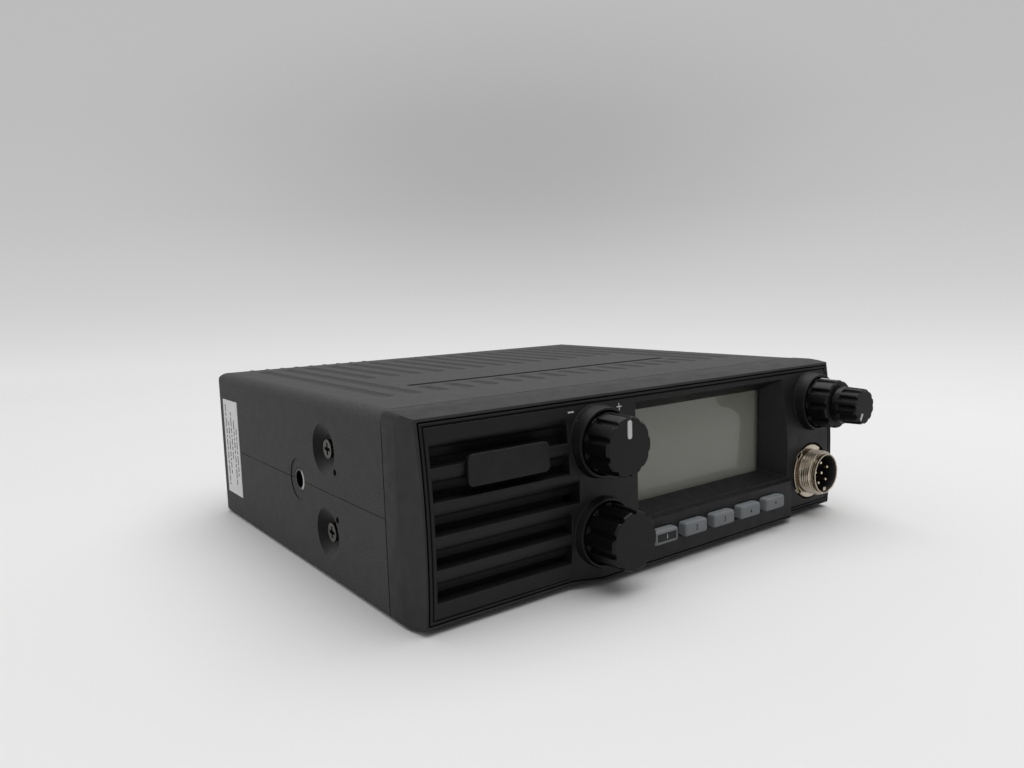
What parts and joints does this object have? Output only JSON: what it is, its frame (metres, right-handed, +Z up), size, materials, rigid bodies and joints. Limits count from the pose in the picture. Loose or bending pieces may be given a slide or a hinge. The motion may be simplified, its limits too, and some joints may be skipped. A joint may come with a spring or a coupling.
{
  "type": "mobile radio transceiver",
  "caption": "Compact box-shaped mobile two-way radio with a front loudspeaker, display, turning knobs, push keys, microphone socket and a finned rear panel.",
  "frame": {"origin": "middle of the case's footprint, on the surface that the flat bottom cover stands on", "axes": "+X to the right seen from the front, +Y from the front panel to the rear panel, +Z up"},
  "size_m": [0.1712, 0.1817, 0.0533],
  "materials": {
    "cover_paint": "fine wrinkle paint",
    "bezel_plastic": "fine moulded texture",
    "panel_plastic": "satin moulded",
    "knob_plastic": "soft satin",
    "white_mark": "printed white",
    "label_film": "matt film",
    "clear_window": "gloss",
    "lcd_face": "satin polariser",
    "light_guide": "milky",
    "key_rubber": "translucent satin",
    "mat_rubber": "satin",
    "black_screw": "black oxide",
    "plated_steel": "zinc plated",
    "nickel": "bright nickel",
    "contact_metal": "plated",
    "black_insulator": "satin",
    "white_insulator": "waxy",
    "control_body": "stamped",
    "circuit_board": "solder mask",
    "speaker_paper": "coated paper",
    "speaker_fabric": "open weave",
    "magnet_iron": "ground ferrite",
    "chassis_metal": "mill",
    "heatsink_metal": "black anodised",
    "capacitor_sleeve": "shrink sleeve",
    "ribbon_plastic": "satin"
  },
  "bodies": {
    "case": {"top_cover": "cover_paint", "bottom_cover": "cover_paint", "side_label": "label_film", "cover_screws": "black_screw", "bracket_inserts": "plated_steel", "front_bezel": "bezel_plastic", "front_panel": "panel_plastic", "name_plate": "panel_plastic", "display_window": "clear_window", "lcd_panel": "lcd_face", "lcd_light_guide": "light_guide", "front_board": "circuit_board", "clarifier_pot": "control_body", "channel_encoder": "control_body", "dual_pot": "control_body", "control_nuts": "plated_steel", "keypad_mat": "mat_rubber", "mic_shell": "nickel", "mic_nut": "nickel", "mic_insulator": "black_insulator", "mic_pins": "contact_metal", "speaker_basket": "plated_steel", "speaker_cone": "speaker_paper", "speaker_magnet": "magnet_iron", "speaker_cloth": "speaker_fabric", "chassis": "chassis_metal", "frame_screws": "plated_steel", "main_board": "circuit_board", "power_transistors": "black_insulator", "shield_can": "plated_steel", "capacitors": "capacitor_sleeve", "tuning_coils": "plated_steel", "chips": "black_insulator", "ribbon_cable": "ribbon_plastic", "rear_heatsink": "heatsink_metal", "antenna_socket": "nickel", "antenna_insulator": "white_insulator", "antenna_contact": "contact_metal", "rear_screws": "plated_steel", "power_socket": "black_insulator", "power_pins": "contact_metal", "jack_sockets": "black_insulator"},
    "clarifier": {"clarifier_knob": "knob_plastic", "clarifier_pointer": "white_mark", "clarifier_shaft": "plated_steel"},
    "channel_slider": {"channel_plunger": "light_guide"},
    "channel": {"channel_knob": "knob_plastic", "channel_shaft": "plated_steel"},
    "squelch": {"squelch_knob": "knob_plastic", "squelch_pointer": "white_mark", "squelch_shaft": "plated_steel"},
    "volume": {"volume_knob": "knob_plastic", "volume_pointer": "white_mark", "volume_shaft": "plated_steel"},
    "mode": {"mode_key": "key_rubber", "mode_key_inset": "panel_plastic"},
    "scan": {"scan_key": "key_rubber"},
    "filter": {"filter_key": "key_rubber"},
    "memory": {"memory_key": "key_rubber"},
    "tone": {"tone_key": "key_rubber"}
  },
  "joints": [
    {"name": "clarifier_turn", "type": "hinge", "parent": "case", "child": "clarifier", "pos_m": [-0.0279, -0.08, 0.03965], "axis": [0, 1, 0], "range_deg": [-145, 145]},
    {"name": "channel_push", "type": "slide", "parent": "case", "child": "channel_slider", "axis": [0, 1, 0], "range_m": [0, 0.0005], "stiffness_N_per_m": 1500, "springref_m": -0.0006},
    {"name": "channel_turn", "type": "hinge", "parent": "channel_slider", "child": "channel", "pos_m": [-0.0279, -0.08, 0.01465], "axis": [0, 1, 0], "continuous": true},
    {"name": "squelch_turn", "type": "hinge", "parent": "case", "child": "squelch", "pos_m": [0.0725, -0.08, 0.03965], "axis": [0, 1, 0], "range_deg": [-145, 145]},
    {"name": "volume_turn", "type": "hinge", "parent": "case", "child": "volume", "pos_m": [0.0725, -0.08, 0.03965], "axis": [0, 1, 0], "range_deg": [0, 300]},
    {"name": "mode_press", "type": "slide", "parent": "case", "child": "mode", "axis": [0, 1, 0], "range_m": [0, 0.0009], "stiffness_N_per_m": 600, "springref_m": -0.0006},
    {"name": "scan_press", "type": "slide", "parent": "case", "child": "scan", "axis": [0, 1, 0], "range_m": [0, 0.0009], "stiffness_N_per_m": 600, "springref_m": -0.0006},
    {"name": "filter_press", "type": "slide", "parent": "case", "child": "filter", "axis": [0, 1, 0], "range_m": [0, 0.0009], "stiffness_N_per_m": 600, "springref_m": -0.0006},
    {"name": "memory_press", "type": "slide", "parent": "case", "child": "memory", "axis": [0, 1, 0], "range_m": [0, 0.0009], "stiffness_N_per_m": 600, "springref_m": -0.0006},
    {"name": "tone_press", "type": "slide", "parent": "case", "child": "tone", "axis": [0, 1, 0], "range_m": [0, 0.0009], "stiffness_N_per_m": 600, "springref_m": -0.0006}
  ]
}
